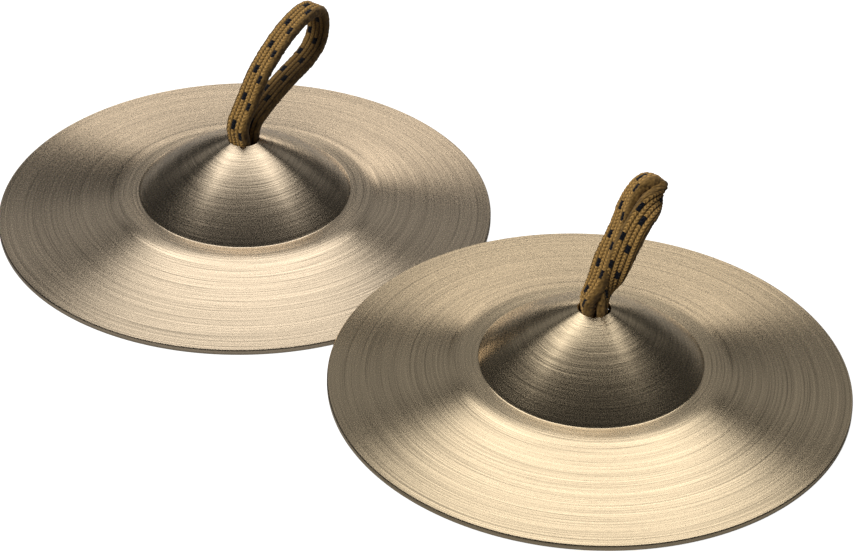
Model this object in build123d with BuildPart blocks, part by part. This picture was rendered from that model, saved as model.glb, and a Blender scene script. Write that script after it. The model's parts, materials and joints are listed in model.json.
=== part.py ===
from build123d import *
import os
from math import acos, asin, atan2, cos, degrees, hypot, radians, sin

# A pair of small hand cymbals of the finger-cymbal kind: two turned bronze plates, each with a raised
# bell, and one finger strap of flat braided elastic in each bell. One plate lies flat. The other leans
# on it, with its near rim on the first plate's bow and its far rim on the table.
# Millimetres. +X from the flat plate to the leaning one, +Z up, the origin on the table midway
# between the two outer rims.

# The turned plate, the same for both
cymbal_diameter = 64.0
sheet_thickness = 0.70
rim_land = 0.60            # width of the flat ring that the rim stands on
rim_chamfer = 0.12
shoulder_height = 3.82     # top of the flat shoulder above the rim's underside
shoulder_width = 1.80      # from the bell's foot out to where the bow starts to fall
shoulder_inset = 0.0875    # how much narrower the shoulder is underneath
bow_dish = 0.25            # how far the bow dips below a straight cone
bell_foot_diameter = 27.6
bell_rise = 7.80           # from the shoulder to the hole's mouth
bell_roundness = 11.3      # half the change of slope along the bell's side, degrees
strap_hole_diameter = 3.90

# The strap of flat braided elastic, both of its runs through the same hole
strap_width = 3.15
strap_thickness = 1.50
strap_squeeze = 0.05       # radial gap between the squeezed strap and the hole
run_gap = 0.06             # between the two runs at the bend
bend_gap = 0.06            # gap between the loop's rounded foot and the neck under it
bend_lift = 0.25           # between the hole's mouth and the loop's rounded foot
knot_diameter = 6.8
knot_height = 4.8
knot_gap = 0.10            # between the knot's crown and the bell's inner edge
tail_length = 5.0
tail_corner = 0.375
tail_droop = 24.0          # degrees below level

# How the pair lies
rim_overlap = 5.6          # how far the second rim reaches in over the first, before it leans
rest_gap = 0.06            # between the leaning rim and the bow that it rests on

# Each loop's centre line, in the plane across its width: distance in the direction of the lean, then
# height above the bend
rear_lean_direction = 95.0     # degrees from +X towards +Y
front_lean_direction = 58.0
rear_loop_line = [
    (0.4, 3.1), (2.5, 5.8), (5.2, 8.2), (8.3, 10.0), (11.6, 11.2), (14.6, 11.0),
    (15.7, 8.2), (13.6, 5.0), (10.4, 3.9), (7.0, 2.8), (3.8, 1.6),
]
front_loop_line = [
    (0.1, 3.0), (1.1, 5.8), (2.1, 8.8), (3.0, 11.7), (4.0, 14.7), (5.8, 16.4),
    (6.9, 14.6), (6.0, 11.0), (4.9, 8.1), (3.5, 5.3), (2.1, 2.7),
]

rim_radius = cymbal_diameter / 2
foot_radius = bell_foot_diameter / 2
shoulder_radius = foot_radius + shoulder_width
hole_radius = strap_hole_diameter / 2
mouth_height = shoulder_height + bell_rise
inner_shoulder_height = shoulder_height - sheet_thickness
bend_rise = strap_thickness + bend_lift
cymbal_spacing = cymbal_diameter - rim_overlap

# The bell's side is an arc: its slope changes evenly from the hole's mouth down to the foot.
side_slope = degrees(atan2(bell_rise, foot_radius - hole_radius))
mouth_slope = radians(side_slope - bell_roundness)
side_radius = hypot(bell_rise, foot_radius - hole_radius) / 2 / sin(radians(bell_roundness))
side_centre = (hole_radius - side_radius * sin(mouth_slope), mouth_height - side_radius * cos(mouth_slope))
inner_side_radius = side_radius - sheet_thickness


def on_side(radius, slope):
    """The point of a bell-side arc where its slope, in radians, is this."""
    return (side_centre[0] + radius * sin(slope), side_centre[1] + radius * cos(slope))


inner_mouth_slope = asin((hole_radius - side_centre[0]) / inner_side_radius)
inner_foot_slope = acos((inner_shoulder_height - side_centre[1]) / inner_side_radius)
inner_mouth = on_side(inner_side_radius, inner_mouth_slope)
inner_foot = on_side(inner_side_radius, inner_foot_slope)


def bow_height(radius):
    """Height of the bow's top at this distance from the bell's axis, within a few thousandths."""
    share = (radius - shoulder_radius) / (rim_radius - shoulder_radius)
    straight = shoulder_height + share * (sheet_thickness - shoulder_height)
    return straight - 4 * bow_dish * share * (1 - share)


# The leaning plate turns about its far rim until its near rim is rest_gap above the flat plate's bow.
contact_height = bow_height(cymbal_spacing - rim_radius) + rest_gap
lean = asin(contact_height / cymbal_diameter)
far_rim = cymbal_spacing / 2 + rim_radius
rear_base = Plane(origin=(-cymbal_spacing / 2, 0, 0))
front_base = Plane(
    origin=(far_rim - rim_radius * cos(lean), 0, rim_radius * sin(lean)),
    x_dir=(cos(lean), 0, -sin(lean)),
    z_dir=(sin(lean), 0, cos(lean)),
)


def across(base, direction):
    """The upright plane through a plate's axis whose x runs in this direction, its y up the axis."""
    turn = radians(direction)
    sideways = base.x_dir * cos(turn) + base.y_dir * sin(turn)
    return Plane(origin=base.origin, x_dir=sideways, z_dir=sideways.cross(base.z_dir))


def bow_middle(start, end, dish):
    """The middle point of a bow arc that dips this far below its chord."""
    run = hypot(end[0] - start[0], end[1] - start[1])
    down = ((end[1] - start[1]) / run, -(end[0] - start[0]) / run)
    middle = ((start[0] + end[0]) / 2, (start[1] + end[1]) / 2)
    return (middle[0] + down[0] * dish, middle[1] + down[1] * dish)


def make_cymbal(base, label):
    """One plate, turned about its own axis."""
    shoulder = (shoulder_radius, shoulder_height)
    inner_shoulder = (shoulder_radius - shoulder_inset, inner_shoulder_height)
    rim_top = (rim_radius - rim_chamfer, sheet_thickness)
    rim_edge = (rim_radius, sheet_thickness - rim_chamfer)
    land = (rim_radius - rim_land, 0)
    with BuildPart() as cymbal:
        with BuildSketch(across(base, 0)):
            with BuildLine():
                Polyline((hole_radius, mouth_height), inner_mouth)
                ThreePointArc(
                    inner_mouth,
                    on_side(inner_side_radius, (inner_mouth_slope + inner_foot_slope) / 2),
                    inner_foot,
                )
                Line(inner_foot, inner_shoulder)
                ThreePointArc(inner_shoulder, bow_middle(inner_shoulder, land, bow_dish), land)
                Polyline(land, (rim_radius, 0), rim_edge, rim_top)
                ThreePointArc(rim_top, bow_middle(shoulder, rim_top, bow_dish), shoulder)
                Line(shoulder, (foot_radius, shoulder_height))
                ThreePointArc(
                    (foot_radius, shoulder_height),
                    on_side(side_radius, radians(side_slope)),
                    (hole_radius, mouth_height),
                )
            make_face()
        revolve(axis=Axis(base.origin, base.z_dir))
    cymbal.part.label = label
    return cymbal.part


def make_loop(base, direction, line, label):
    """The strap above the bend: one closed band, its two runs joined in a rounded foot."""
    plane = across(base, direction)
    bend = (0, mouth_height + bend_rise)
    half_gap = (strap_thickness + run_gap) / 2
    route = [(-half_gap, 0)] + line + [(half_gap, 0)]
    with BuildPart() as loop:
        with BuildSketch(plane):
            with BuildLine():
                Spline(*[(x, bend[1] + height) for x, height in route])
            trace(line_width=strap_thickness)
            with Locations(bend):
                Circle(strap_thickness)
        extrude(amount=strap_width / 2, both=True)
    loop.part.label = label
    return loop.part


def make_neck(base, label):
    """Both runs squeezed round in the hole, from the knot's crown up to the bend."""
    top = mouth_height + bend_rise - strap_thickness - bend_gap
    with BuildPart() as neck:
        with BuildSketch(base.offset(knot_crown)):
            Circle(hole_radius - strap_squeeze)
        extrude(amount=top - knot_crown)
    neck.part.label = label
    return neck.part


knot_crown = inner_mouth[1] - knot_gap
knot_middle = knot_crown - knot_height / 2


def knot_outline():
    """Half of the knot's section: flat at the crown and the underside, round at the side."""
    crown = (hole_radius, knot_crown)
    underside = (hole_radius, knot_crown - knot_height)
    Polyline(underside, (0, underside[1]), (0, knot_crown), crown)
    ThreePointArc(crown, (knot_diameter / 2, knot_middle), underside)


def make_knot(base, label):
    """The overhand knot that stops both runs under the bell: a flattened ball."""
    with BuildPart() as knot:
        with BuildSketch(across(base, 0)):
            with BuildLine():
                knot_outline()
            make_face()
        revolve(axis=Axis(base.origin, base.z_dir))
    knot.part.label = label
    return knot.part


def make_tail(base, direction, label):
    """One cut end, out of the knot's side and a little down."""
    plane = across(base, direction)
    droop = radians(tail_droop)
    start = knot_diameter / 2 - strap_thickness / 2
    root = Plane(
        origin=base.origin + plane.x_dir * start + base.z_dir * knot_middle,
        x_dir=plane.z_dir,
        z_dir=plane.x_dir * cos(droop) - base.z_dir * sin(droop),
    )
    with BuildPart() as tail:
        with BuildSketch(root):
            RectangleRounded(strap_width, strap_thickness, tail_corner)
        extrude(amount=tail_length)
        with BuildSketch(across(base, 0)):
            with BuildLine():
                knot_outline()
            make_face()
        revolve(axis=Axis(base.origin, base.z_dir), mode=Mode.SUBTRACT)
    tail.part.label = label
    return tail.part


pieces = []
for side, base, direction, line in (
    ("rear", rear_base, rear_lean_direction, rear_loop_line),
    ("front", front_base, front_lean_direction, front_loop_line),
):
    pieces.append(make_cymbal(base, f"{side}_cymbal"))
    pieces.append(make_loop(base, direction, line, f"{side}_strap_loop"))
    pieces.append(make_neck(base, f"{side}_strap_neck"))
    pieces.append(make_knot(base, f"{side}_strap_knot"))
    pieces.append(make_tail(base, direction + 90, f"{side}_strap_tail_a"))
    pieces.append(make_tail(base, direction - 90, f"{side}_strap_tail_b"))

os.makedirs("parts", exist_ok=True)
for piece in pieces:
    export_step(piece, f"parts/{piece.label}.step")
    print(piece.label, "volume", round(piece.volume, 3), "mm3")

front_bend = front_base.origin + front_base.z_dir * (mouth_height + bend_rise)
print("lean of the front plate", round(degrees(lean), 4), "degrees; bell side slope", round(side_slope, 2))
print("rear bend", (rear_base.origin.X, 0, mouth_height + bend_rise))
print("front bend", front_bend.X, front_bend.Y, front_bend.Z)
print("front axis", front_base.z_dir.X, front_base.z_dir.Y, front_base.z_dir.Z)
for side, base, direction in (("rear", rear_base, rear_lean_direction), ("front", front_base, front_lean_direction)):
    hinge = across(base, direction).z_dir
    print(side, "strap width axis", hinge.X, hinge.Y, hinge.Z)
print("inside of the bell at the hole", round(inner_mouth[1], 3), "knot underside", round(knot_crown - knot_height, 3))
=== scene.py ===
import json
from math import atan2, cos, hypot, pi, radians, sin

import bpy
import numpy as np
from mathutils import Matrix, Vector


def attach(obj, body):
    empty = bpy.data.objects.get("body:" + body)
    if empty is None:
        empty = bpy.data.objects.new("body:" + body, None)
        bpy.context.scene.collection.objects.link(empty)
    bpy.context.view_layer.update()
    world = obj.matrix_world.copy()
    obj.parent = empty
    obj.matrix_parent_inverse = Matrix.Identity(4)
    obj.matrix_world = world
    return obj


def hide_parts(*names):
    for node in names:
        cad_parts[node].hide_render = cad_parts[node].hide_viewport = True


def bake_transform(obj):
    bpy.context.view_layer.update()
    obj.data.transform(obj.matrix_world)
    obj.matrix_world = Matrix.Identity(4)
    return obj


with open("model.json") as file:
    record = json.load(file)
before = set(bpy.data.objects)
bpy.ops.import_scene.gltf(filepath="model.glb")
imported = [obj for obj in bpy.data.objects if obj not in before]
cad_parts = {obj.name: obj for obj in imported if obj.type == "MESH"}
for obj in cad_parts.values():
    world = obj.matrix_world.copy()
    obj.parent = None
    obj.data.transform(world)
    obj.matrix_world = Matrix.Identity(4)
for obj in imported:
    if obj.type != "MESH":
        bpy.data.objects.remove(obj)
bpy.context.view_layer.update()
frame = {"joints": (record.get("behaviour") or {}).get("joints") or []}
joints = {joint["name"]: joint for joint in frame["joints"]}
MM = 0.001


# ---- Camera -------------------------------------------------------------------------------------
# A long lens from the front left, a little above the pair, so that both plates show as wide ovals.
# It is rolled by less than a degree.
look_at = Vector((-2.17, 5.35, 0.0)) * MM
view_azimuth = radians(41.55)
view_elevation = radians(33.93)
view_distance = 488.0 * MM
forward = Vector((-sin(view_azimuth) * cos(view_elevation), cos(view_azimuth) * cos(view_elevation),
                  -sin(view_elevation)))
camera_data = bpy.data.cameras.new("camera")
camera_data.lens = 161.5
camera_data.clip_start = 0.01
camera_data.clip_end = 20.0
camera = bpy.data.objects.new("camera", camera_data)
camera.matrix_world = (Matrix.Translation(look_at - forward * view_distance)
                       @ forward.to_track_quat("-Z", "Y").to_matrix().to_4x4()
                       @ Matrix.Rotation(radians(0.61), 4, "Z"))
bpy.context.scene.collection.objects.link(camera)
bpy.context.scene.camera = camera


# ---- Table and studio light ---------------------------------------------------------------------
# A white table top, one softbox overhead, a dim backdrop and a low card behind, a fill for the
# straps alone, and a dark room: a turned plate then shows its light and dark fans.
def new_material(name):
    """A material with only its Principled shader, and a function that adds nodes to it."""
    material = bpy.data.materials.new(name)
    material.use_nodes = True
    tree = material.node_tree
    shader = tree.nodes["Principled BSDF"]

    def add(kind, inputs=(), **settings):
        node = tree.nodes.new(kind)
        for key, value in settings.items():
            setattr(node, key, value)
        for socket, value in dict(inputs).items():
            if isinstance(value, bpy.types.NodeSocket):
                tree.links.new(value, node.inputs[socket])
            else:
                node.inputs[socket].default_value = value
        return node

    return material, shader, add, tree.links.new


table_white, shader, add, link = new_material("table_white")
shader.inputs["Base Color"].default_value = (0.40, 0.40, 0.40, 1)
shader.inputs["Roughness"].default_value = 0.8
shader.inputs["Emission Color"].default_value = (1, 1, 1, 1)
shader.inputs["Emission Strength"].default_value = 0.95
table_drop = 0.03
bpy.ops.mesh.primitive_plane_add(size=6.0, location=(0, 0, -table_drop * MM))
table = bpy.context.object
table.name = "table_top"
table.data.materials.append(table_white)
# The table's own glow shines on nothing else, so that the rims stay dark.
lit_by_table = bpy.data.collections.new("lit_by_table")
lit_by_table.objects.link(table)
table.light_linking.receiver_collection = lit_by_table

view_side = Matrix.Rotation(view_azimuth, 4, "Z")


def softbox(name, place, target, size, watts, tint=(1, 1, 1), shines_in_metal=True):
    """A rectangular light. Place and target are metres right of, behind and above the pair's middle."""
    lamp_data = bpy.data.lights.new(name, "AREA")
    lamp_data.shape = "RECTANGLE"
    lamp_data.size, lamp_data.size_y = size
    lamp_data.energy = watts
    lamp_data.color = tint
    lamp = bpy.data.objects.new(name, lamp_data)
    lamp.visible_glossy = shines_in_metal
    start, end = view_side @ Vector(place), view_side @ Vector(target)
    aim = (end - start).to_track_quat("-Z", "Y").to_matrix().to_4x4()
    lamp.matrix_world = Matrix.Translation(start) @ aim
    bpy.context.scene.collection.objects.link(lamp)


softbox("overhead_softbox", (-0.01, 0.335, 0.878), (0, 0, 0), (1.12, 0.54), 4.1, (1.0, 0.985, 0.96))
softbox("backdrop", (0, 1.25, 0.90), (0, 0, 0), (2.40, 0.45), 0.8)
softbox("back_card", (0.06, 1.42, 0.42), (0, 0, 0), (0.86, 0.30), 1.6, (1.0, 0.93, 0.84))
softbox("strap_fill", (-0.9, -0.7, 0.9), (0, 0, 0.02), (0.5, 0.5), 12.0, shines_in_metal=False)
world = bpy.data.worlds.new("dark_room")
world.use_nodes = True
world.node_tree.nodes["Background"].inputs["Color"].default_value = (0.9, 0.95, 1.0, 1)
world.node_tree.nodes["Background"].inputs["Strength"].default_value = 0.02
bpy.context.scene.world = world
bpy.context.scene.view_settings.view_transform = "Standard"


# ---- The two plates -----------------------------------------------------------------------------
# Each is one piece of bronze, turned all over: a thin bow, a flat shoulder and a raised bell with a
# hole for the strap. The tool leaves fine rings, so it shines in fans.
rim_radius = 32.0
sheet = 0.70
rim_chamfer = 0.12
rim_land = 0.60
shoulder_radius = 15.6
shoulder_height = 3.82
bow_dish = 0.25
foot_radius = 13.8
hole_radius = 1.95
mouth_height = 11.62
bell_roundness = 11.3
bend_rise = 1.75
mouth_softening = 0.10
fillet_radius = 0.30
rim_softening = 0.06
plate_segments = 352
ring_depth = 0.016


def arc_between(start, end, rise, count):
    """Points along an arc from start to end whose middle stands this far off its chord, to its left."""
    (x0, z0), (x1, z1) = start, end
    chord = hypot(x1 - x0, z1 - z0)
    points = []
    for step in range(count + 1):
        share = step / count
        off = 4 * rise * share * (1 - share)
        points.append((x0 + (x1 - x0) * share - (z1 - z0) / chord * off,
                       z0 + (z1 - z0) * share + (x1 - x0) / chord * off))
    return points


def plate_profile():
    """The plate's section from the hole's mouth out over the top, round the rim and back underneath."""
    slope = atan2(mouth_height - shoulder_height, foot_radius - hole_radius)
    side = hypot(mouth_height - shoulder_height, foot_radius - hole_radius)
    side_radius = side / 2 / sin(radians(bell_roundness))
    side_bulge = side_radius * (1 - cos(radians(bell_roundness)))
    first = slope - radians(bell_roundness)
    centre = (hole_radius - side_radius * sin(first), mouth_height - side_radius * cos(first))
    top = arc_between((hole_radius + mouth_softening, mouth_height),
                      (foot_radius, shoulder_height), side_bulge, 60)
    fillet = [(foot_radius + 0.05 - fillet_radius * sin(radians(turn)),
               shoulder_height + fillet_radius * (1 - cos(radians(turn)))) for turn in (40, 32, 24, 16, 8, 0)]
    top = [point for point in top if point[0] < fillet[0][0] - 0.05] + fillet
    top += arc_between((foot_radius + 0.20, shoulder_height),
                       (shoulder_radius - 0.9, shoulder_height - 0.005), 0, 8)
    top += arc_between((shoulder_radius - 0.7, shoulder_height - 0.012),
                       (shoulder_radius + 1.6, shoulder_height - 0.37), 0.10, 16)
    bow = arc_between((shoulder_radius, shoulder_height), (rim_radius - rim_chamfer, sheet), -bow_dish, 96)
    top += [point for point in bow if point[0] > shoulder_radius + 1.8]
    edge = [(rim_radius, sheet - rim_chamfer), (rim_radius, rim_softening), (rim_radius - rim_softening, 0.0)]
    under_radius = side_radius - sheet
    inner = []
    for step in range(41):
        angle = np.interp(step / 40, (0, 1), (
            np.arccos((shoulder_height - sheet - centre[1]) / under_radius),
            np.arcsin((hole_radius - centre[0]) / under_radius)))
        inner.append((centre[0] + under_radius * sin(angle), centre[1] + under_radius * cos(angle)))
    under = arc_between((rim_radius - rim_land, 0.0),
                        (shoulder_radius - 0.09, shoulder_height - sheet), bow_dish, 50)
    mouth = [(hole_radius, mouth_height - mouth_softening)]
    return top + edge + under + inner + mouth


def turned_plate(name, base, up, start, material):
    """One plate turned from the start direction, its UVs running out from the axis and round it."""
    profile = plate_profile()
    side = up.cross(start)
    turns = np.linspace(0, 2 * pi, plate_segments, endpoint=False)
    round_the_axis = np.outer(np.cos(turns), start) + np.outer(np.sin(turns), side)
    points = np.array([np.array(base) + (radius * round_the_axis + height * np.array(up)) * MM
                       for radius, height in profile])
    rings = len(profile)
    index = np.arange(rings * plate_segments).reshape(rings, plate_segments)
    outer = np.roll(index, -1, axis=0)
    faces = np.stack([index, outer, np.roll(outer, -1, axis=1), np.roll(index, -1, axis=1)], axis=-1)
    mesh = bpy.data.meshes.new(name)
    mesh.from_pydata(points.reshape(-1, 3).tolist(), [], faces.reshape(-1, 4).tolist())
    lengths = np.concatenate([[0], np.cumsum(np.hypot(*np.diff(np.array(profile + profile[:1]), axis=0).T))])
    out = np.stack([lengths[:-1], lengths[1:], lengths[1:], lengths[:-1]], axis=-1)
    around = np.arange(plate_segments + 1) / plate_segments
    across = np.stack([around[:-1], around[:-1], around[1:], around[1:]], axis=-1)
    uv = np.empty((rings, plate_segments, 4, 2), np.float32)
    uv[..., 0] = out[:, None, :]
    uv[..., 1] = across[None, :, :]
    mesh.uv_layers.new(name="turning").data.foreach_set("uv", uv.ravel())
    mesh.shade_smooth()
    mesh.set_sharp_from_angle(angle=radians(28))
    mesh.materials.append(material)
    plate = bpy.data.objects.new(name, mesh)
    bpy.context.scene.collection.objects.link(plate)
    return plate


def turned_bronze(name, colour, seed):
    """Bronze as the lathe leaves it: rough across the tool rings, smooth along them."""
    bronze, shader, add, link = new_material(name)
    shader.inputs["Metallic"].default_value = 1.0
    shader.inputs["Anisotropic"].default_value = 0.83
    tangent = add("ShaderNodeTangent", direction_type="UV_MAP", uv_map="turning")
    link(tangent.outputs["Tangent"], shader.inputs["Tangent"])
    parts = add("ShaderNodeSeparateXYZ", {"Vector": add("ShaderNodeUVMap", uv_map="turning").outputs["UV"]})
    turn = add("ShaderNodeMath", {0: parts.outputs["Y"], 1: 2 * pi}, operation="MULTIPLY").outputs[0]
    cosine = add("ShaderNodeMath", {0: turn}, operation="COSINE").outputs[0]
    sine = add("ShaderNodeMath", {0: turn}, operation="SINE").outputs[0]

    def ring_noise(pitch, drift, detail, offset):
        """Noise in rings this far apart in millimetres; a higher drift breaks the rings up sooner."""
        out = add("ShaderNodeMath", {0: parts.outputs["X"], 1: 1 / pitch, 2: seed + offset},
                  operation="MULTIPLY_ADD").outputs[0]
        along = [add("ShaderNodeMath", {0: value, 1: drift}, operation="MULTIPLY").outputs[0]
                 for value in (cosine, sine)]
        place = add("ShaderNodeCombineXYZ", {"X": out, "Y": along[0], "Z": along[1]}).outputs[0]
        return add("ShaderNodeTexNoise", {"Vector": place, "Scale": 1.0, "Detail": detail}).outputs[0]

    tool_rings = ring_noise(0.27, 0.6, 2.0, 0.0)
    fine_rings = ring_noise(0.13, 1.6, 1.0, 50.0)
    chatter = ring_noise(0.25, 55.0, 1.0, 90.0)
    height = add("ShaderNodeMath", {0: fine_rings, 1: 0.60, 2: tool_rings},
                 operation="MULTIPLY_ADD").outputs[0]
    height = add("ShaderNodeMath", {0: chatter, 1: 0.04, 2: height}, operation="MULTIPLY_ADD").outputs[0]
    # The scored rings are only a darker base colour and are cut into no bump: painted shade of fine rings.
    painted_score_shade = add("ShaderNodeMapRange", {"Value": ring_noise(0.11, 1.1, 2.0, 140.0), "From Min": 0.54,
                                       "From Max": 0.68, "To Min": 1.0, "To Max": 0.60}).outputs[0]
    bump = add("ShaderNodeBump", {"Height": height, "Strength": 1.0, "Distance": ring_depth * MM})
    link(bump.outputs["Normal"], shader.inputs["Normal"])
    # The base colour follows the ring height. It is lighter on the ring tops, darker in the low rings and
    # darker again in the scored rings: painted light and shade of the tool rings.
    tone = add("ShaderNodeMapRange", {"Value": height, "From Min": 0.60, "From Max": 1.10, "To Min": 0.80,
                                      "To Max": 1.07}).outputs[0]
    tone = add("ShaderNodeMath", {0: tone, 1: painted_score_shade}, operation="MULTIPLY").outputs[0]
    shade = add("ShaderNodeMix", {0: 1.0}, data_type="RGBA", blend_type="MULTIPLY")
    shade.inputs[6].default_value = (*colour, 1)
    link(add("ShaderNodeCombineXYZ", {"X": tone, "Y": tone, "Z": tone}).outputs[0], shade.inputs[7])
    link(shade.outputs[2], shader.inputs["Base Color"])
    link(add("ShaderNodeMapRange", {"Value": chatter, "To Min": 0.24, "To Max": 0.30}).outputs[0],
         shader.inputs["Roughness"])
    return bronze


# The front plate's bronze is set a little darker than the rear plate's: painted shade for the dimmer light on
# the front plate.
rear_bronze = turned_bronze("rear_bronze", (0.80, 0.655, 0.48), 0.0)
front_bronze = turned_bronze("front_bronze", (0.765, 0.62, 0.42), 300.0)
# For each side: the plate's base, its axis, the hinge line of the strap's lean, and the bend.
places = {}
for side_name, bronze in (("rear", rear_bronze), ("front", front_bronze)):
    up = Vector(joints[f"{side_name}_strap_swivel"]["axis"]).normalized()
    bend = Vector(joints[f"{side_name}_strap_lean"]["pos_m"])
    hinge = Vector(joints[f"{side_name}_strap_lean"]["axis"]).normalized()
    base = bend - up * (mouth_height + bend_rise) * MM
    places[side_name] = (base, up, hinge, bend)
    plate = turned_plate(f"{side_name}_turned_plate", base, up, hinge, bronze)
    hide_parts(f"{side_name}_cymbal")
    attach(plate, f"{side_name}_plate")


# ---- The straps ---------------------------------------------------------------------------------
# Each is one length of flat elastic, braided in four ribs of old-gold yarn with navy flecks. Both
# runs come up through the bell's hole, which squeezes them, and stand in a loop for one finger.
strap_width = 3.15
strap_thickness = 1.50
stitch = 0.45
rings_per_stitch = 7
rib_count = 4
rib_height = 0.12
stitch_height = 0.15
section_corner = 0.22
hole_room = 1.86
# Along each strap: distance toward the lean, height above the hole's mouth, turn about the bell's
# axis, and roll about the strap's own length, in millimetres and degrees.
rear_route = [
    (-0.70, -1.6, 0, 0), (-0.85, 0.3, 0, 0), (-1.43, 2.3, 0, 0), (0.62, 4.8, 0, 0), (3.51, 8.7, 0, 0),
    (9.83, 12.5, 0, 0), (15.10, 13.1, 0, 0), (16.0, 9.4, 0, 0), (14.14, 6.3, 0, 0), (8.10, 4.8, 0, 0),
    (3.08, 2.8, 0, 0), (0.85, 1.4, 0, 0), (0.70, -1.6, 0, 0),
]
front_route = [
    (-0.70, -1.60, -10, 0), (-0.85, 0.30, -10, 0), (-0.98, 1.64, -5, -5), (0.80, 5.02, 38, -12),
    (3.52, 9.60, 29, -22), (5.25, 12.60, 34, -30), (7.60, 15.35, 28, -34), (9.30, 14.40, 21, 15),
    (7.85, 13.45, 15, 88), (6.25, 13.05, 6, 134), (4.40, 11.10, -5, 140), (1.95, 4.68, -13, 92),
    (0.90, 1.50, -10, 8), (0.70, -1.60, -10, 0),
]


def smooth_line(points):
    """A clamped quadratic spline through a route, evenly spaced by its distance and height."""
    points = np.array(points, float)
    spans = len(points) - 2
    knots = np.concatenate([[0, 0], np.arange(spans + 1), [spans, spans]]).astype(float)
    line = []
    for value in np.linspace(0, spans, 1200):
        span = min(int(value), spans - 1)
        near = points[span:span + 3].copy()
        for level in (1, 2):
            for k in range(2, level - 1, -1):
                low, high = knots[span + k], knots[span + k + 3 - level]
                share = (value - low) / (high - low)
                near[k] = (1 - share) * near[k - 1] + share * near[k]
        line.append(near[2])
    line = np.array(line)
    run = np.concatenate([[0], np.cumsum(np.linalg.norm(np.diff(line[:, :2], axis=0), axis=1))])
    even = np.linspace(0, run[-1], int(run[-1] / stitch * rings_per_stitch))
    return np.stack([np.interp(even, run, line[:, k]) for k in range(points.shape[1])], axis=-1)


def band_section():
    """The band's outline as rows of across, through, outward across, outward through, rib place."""
    side = strap_thickness / 2 - section_corner
    flat = strap_width / 2 - 0.34
    rows = []
    for face in (1, -1):
        for step in range(40):
            share = step / 40
            rows.append((face * flat * (2 * share - 1), face * side, 0.0, face,
                         share * rib_count + (0 if face > 0 else 10)))
        for step in range(10):
            angle = pi / 2 - pi * step / 10
            rows.append((face * (flat + section_corner * cos(angle)), face * side * sin(angle),
                         face * cos(angle), face * sin(angle), 20 + step / 10))
    return np.array(rows)


def braid(name, centre, wides, material, start=0.0, foot=None):
    """A ribbed band along these points in millimetres; a foot, if given, squeezes it into the hole."""
    rings = len(centre)
    run = np.concatenate([[0], np.cumsum(np.linalg.norm(np.diff(centre, axis=0), axis=1))]) + start
    tangent = np.gradient(centre, axis=0)
    tangent /= np.linalg.norm(tangent, axis=1)[:, None]
    normal = np.cross(wides, tangent)
    normal /= np.linalg.norm(normal, axis=1)[:, None]
    wides = np.cross(tangent, normal)
    section = band_section()
    place = section[:, 4]
    on_face = place < 20
    rib = np.where(on_face, place % 1.0 - 0.5, 0.0)
    rib_relief = np.where(on_face, np.sqrt(np.maximum(0.0, 1 - (2 * rib) ** 2)), 0.75)
    knit = np.where(place < 10, 1.0, np.where(on_face, 0.35, 0.15))
    slant = np.where(np.floor(place) % 2 == 0, 1.3, -1.3)
    phase = (run[:, None] / stitch + np.abs(rib) * slant) * 2 * pi
    dice = np.random.default_rng(len(name) * 7 + rings)
    uneven = dice.normal(0, 1, (rings // 6 + 2, len(section)))[np.arange(rings) // 6]
    relief = rib_relief * (rib_height + stitch_height * knit * (0.5 + 0.5 * np.cos(phase)))
    relief = relief + np.where(on_face, 0.010, 0.025) * uneven
    points = (centre[:, None, :] + (section[:, 0] + relief * section[:, 2])[..., None] * wides[:, None, :]
              + (section[:, 1] + relief * section[:, 3])[..., None] * normal[:, None, :])
    if foot is not None:
        mouth, up = foot
        out = points - mouth
        above = out @ up
        sideways = out - above[..., None] * up
        reach = np.linalg.norm(sideways, axis=-1)
        room = hole_room + 5.0 * np.maximum(0, above - 0.1)
        points -= sideways * (1 - np.minimum(1, room / reach))[..., None]
    count = len(section)
    index = np.arange(rings * count).reshape(rings, count)
    a, b = index[:-1], index[1:]
    faces = np.stack([a, np.roll(a, -1, axis=1), np.roll(b, -1, axis=1), b], axis=-1).reshape(-1, 4)
    mesh = bpy.data.meshes.new(name)
    mesh.from_pydata((points.reshape(-1, 3) * MM).tolist(), [],
                     faces.tolist() + [index[0][::-1].tolist(), index[-1].tolist()])
    for layer, values in (("rib_place", np.broadcast_to(place, (rings, count))),
                          ("along_mm", np.broadcast_to(run[:, None], (rings, count))),
                          ("relief", relief / (rib_height + stitch_height))):
        attribute = mesh.attributes.new(layer, "FLOAT", "POINT")
        attribute.data.foreach_set("value", np.ascontiguousarray(values, np.float32).ravel())
    mesh.shade_smooth()
    mesh.materials.append(material)
    band = bpy.data.objects.new(name, mesh)
    bpy.context.scene.collection.objects.link(band)
    return band


gold_yarn, shader, add, link = new_material("gold_yarn")
shader.inputs["Roughness"].default_value = 0.85
shader.inputs["Sheen Weight"].default_value = 0.15
place_across = add("ShaderNodeAttribute", attribute_name="rib_place").outputs["Fac"]
place_along = add("ShaderNodeAttribute", attribute_name="along_mm").outputs["Fac"]
relief_value = add("ShaderNodeAttribute", attribute_name="relief").outputs["Fac"]


def maths(operation, first, second=0.0, third=0.0):
    """One sum in the yarn's material."""
    return add("ShaderNodeMath", {0: first, 1: second, 2: third}, operation=operation).outputs[0]


rib_number = maths("FLOOR", place_across)
fleck_every = 3.7
fleck_length = 1.05
fleck = 0.0
for rib_index, shift in ((1, 0.0), (3, 1.1), (11, 0.7), (13, 2.1)):
    on_rib = maths("COMPARE", rib_number, float(rib_index), 0.1)
    cycle = maths("MODULO", maths("ADD", place_along, shift), fleck_every)
    in_fleck = maths("MULTIPLY", on_rib, maths("LESS_THAN", cycle, fleck_length))
    fleck = maths("MAXIMUM", fleck, in_fleck)
tone = add("ShaderNodeTexNoise", {"Scale": 2600.0, "Detail": 2.0,
                                  "Vector": add("ShaderNodeTexCoord").outputs["Object"]}).outputs[0]
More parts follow.
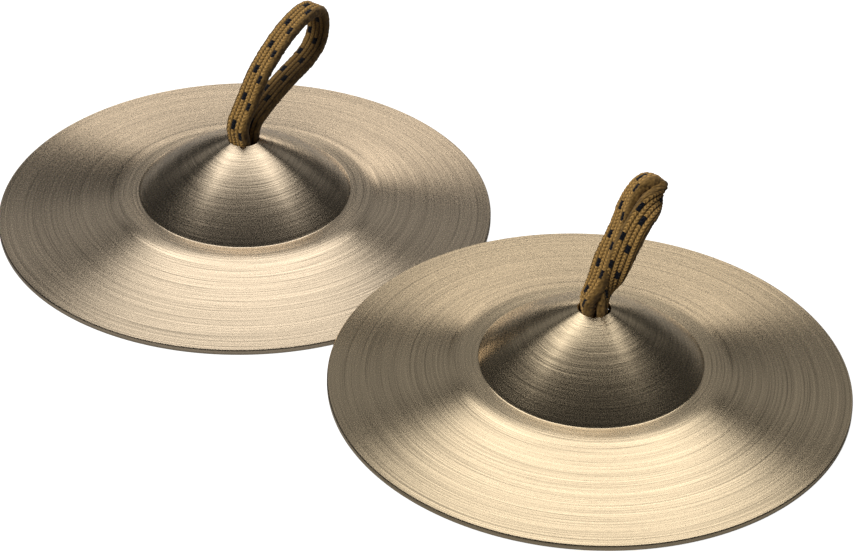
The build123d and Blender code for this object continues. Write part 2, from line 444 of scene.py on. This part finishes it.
# The yarn is near black where the relief is low, in the hollows between ribs and stitches, and light gold
# where it is high. This is painted shade in the hollows and a painted highlight on the tops, multiplied by a
# random tone of the yarn.
yarn = add("ShaderNodeMix", data_type="RGBA")
relief_shade_and_yarn_tone = maths("MULTIPLY", maths("POWER", relief_value, 1.3), maths("MULTIPLY_ADD", tone, 0.8, 0.6))
link(relief_shade_and_yarn_tone, yarn.inputs[0])
yarn.inputs[6].default_value = (0.035, 0.018, 0.004, 1)
yarn.inputs[7].default_value = (0.66, 0.385, 0.115, 1)
flecked = add("ShaderNodeMix", data_type="RGBA")
link(fleck, flecked.inputs[0])
link(yarn.outputs[2], flecked.inputs[6])
flecked.inputs[7].default_value = (0.006, 0.007, 0.012, 1)
link(flecked.outputs[2], shader.inputs["Base Color"])

for side_name, route in (("rear", rear_route), ("front", front_route)):
    base, up, hinge, bend = places[side_name]
    toward = up.cross(hinge)
    mouth = np.array(bend - up * bend_rise * MM) / MM
    line = smooth_line(route)
    turn = np.radians(line[:, 2])
    heads = np.outer(np.cos(turn), toward) - np.outer(np.sin(turn), hinge)
    wides = np.outer(np.sin(turn), toward) + np.outer(np.cos(turn), hinge)
    centre = mouth + line[:, :1] * heads + line[:, 1:2] * np.array(up)
    tangent = np.gradient(centre, axis=0)
    tangent /= np.linalg.norm(tangent, axis=1)[:, None]
    normal = np.cross(wides, tangent)
    normal /= np.linalg.norm(normal, axis=1)[:, None]
    roll = np.radians(line[:, 3])[:, None]
    wides = np.cross(tangent, normal) * np.cos(roll) - normal * np.sin(roll)
    strap = braid(f"{side_name}_braided_strap", centre, wides, gold_yarn, foot=(mouth, np.array(up)))
    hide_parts(f"{side_name}_strap_loop", f"{side_name}_strap_neck")
    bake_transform(strap)


# ---- The knots and the cut ends -----------------------------------------------------------------
# Under each bell both ends of the strap go into one overhand knot, pulled tight, that is too big for
# the hole. Its two cut ends stand out to the sides.
knot_middle = 8.364
knot_spread = 0.80
knot_depth = 1.35
for side_name in ("rear", "front"):
    base, up, hinge, bend = places[side_name]
    toward = up.cross(hinge)
    axes = np.array([hinge, toward, up])
    middle = np.array(base) / MM + knot_middle * np.array(up)
    t = np.linspace(0.1, 2 * pi + 0.1, 420)
    path = np.stack([(2 + np.cos(3 * t)) * np.cos(2 * t) * knot_spread,
                     (2 + np.cos(3 * t)) * np.sin(2 * t) * knot_spread, np.sin(3 * t) * knot_depth], axis=-1)
    outward = np.stack([np.cos(2 * t) * np.cos(3 * t), np.sin(2 * t) * np.cos(3 * t),
                        np.sin(3 * t)], axis=-1)
    tangent = np.gradient(path, axis=0)
    wides = np.cross(outward, tangent)
    wides /= np.linalg.norm(wides, axis=1)[:, None]
    knot = braid(f"{side_name}_overhand_knot", middle + path @ axes, wides @ axes, gold_yarn)
    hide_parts(f"{side_name}_strap_knot")
    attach(knot, f"{side_name}_swivel")
    for tail, sign in (("a", 1), ("b", -1)):
        reach = np.linspace(0, 1, 90)
        path = np.stack([sign * (1.9 + 5.5 * reach), 0.25 * np.sin(3 * reach),
                         -0.10 - 2.6 * reach ** 1.2], axis=-1)
        wides = np.tile((0.0, 1.0, 0.0), (90, 1))
        cut_end = braid(f"{side_name}_cut_end_{tail}", middle + path @ axes, wides @ axes, gold_yarn,
                        start=1.3 * sign)
        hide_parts(f"{side_name}_strap_tail_{tail}")
        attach(cut_end, f"{side_name}_swivel")
